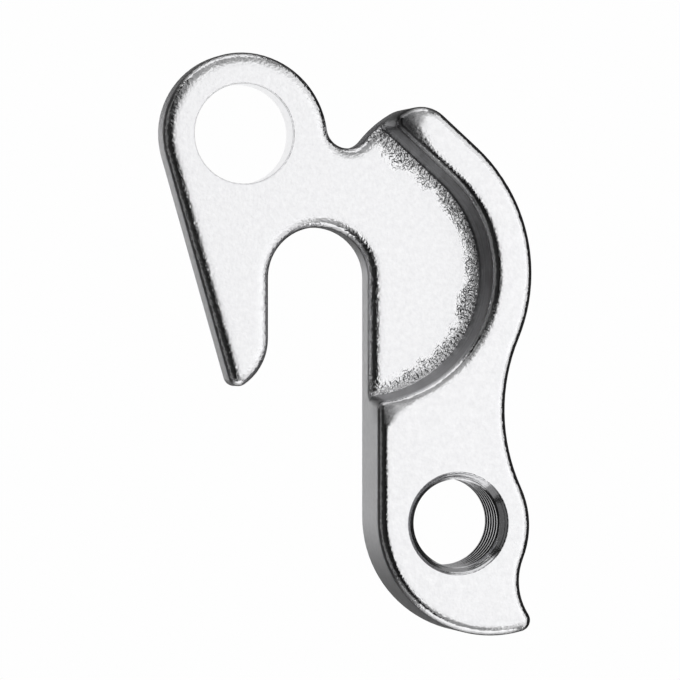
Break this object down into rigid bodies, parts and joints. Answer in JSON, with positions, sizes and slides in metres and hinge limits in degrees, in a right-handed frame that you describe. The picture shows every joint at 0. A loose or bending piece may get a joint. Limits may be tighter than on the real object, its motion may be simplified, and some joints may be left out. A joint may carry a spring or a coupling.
{
  "type": "bicycle derailleur hanger",
  "caption": "Flat aluminium hanger with an open axle slot, a ring head for the frame bolt, a stepped rim, and a threaded arm with a stop tail for the rear derailleur.",
  "frame": {"origin": "axis of the derailleur thread, where it meets the flat outer face that the part lies on", "axes": "+X to the rear of the bicycle, +Y up towards the frame, +Z from the outer face towards the wheel"},
  "size_m": [0.0375, 0.0595, 0.008],
  "materials": {
    "bright_aluminium": "bright, lightly grained"
  },
  "bodies": {
    "root": {"hanger_body": "bright_aluminium"}
  },
  "joints": []
}
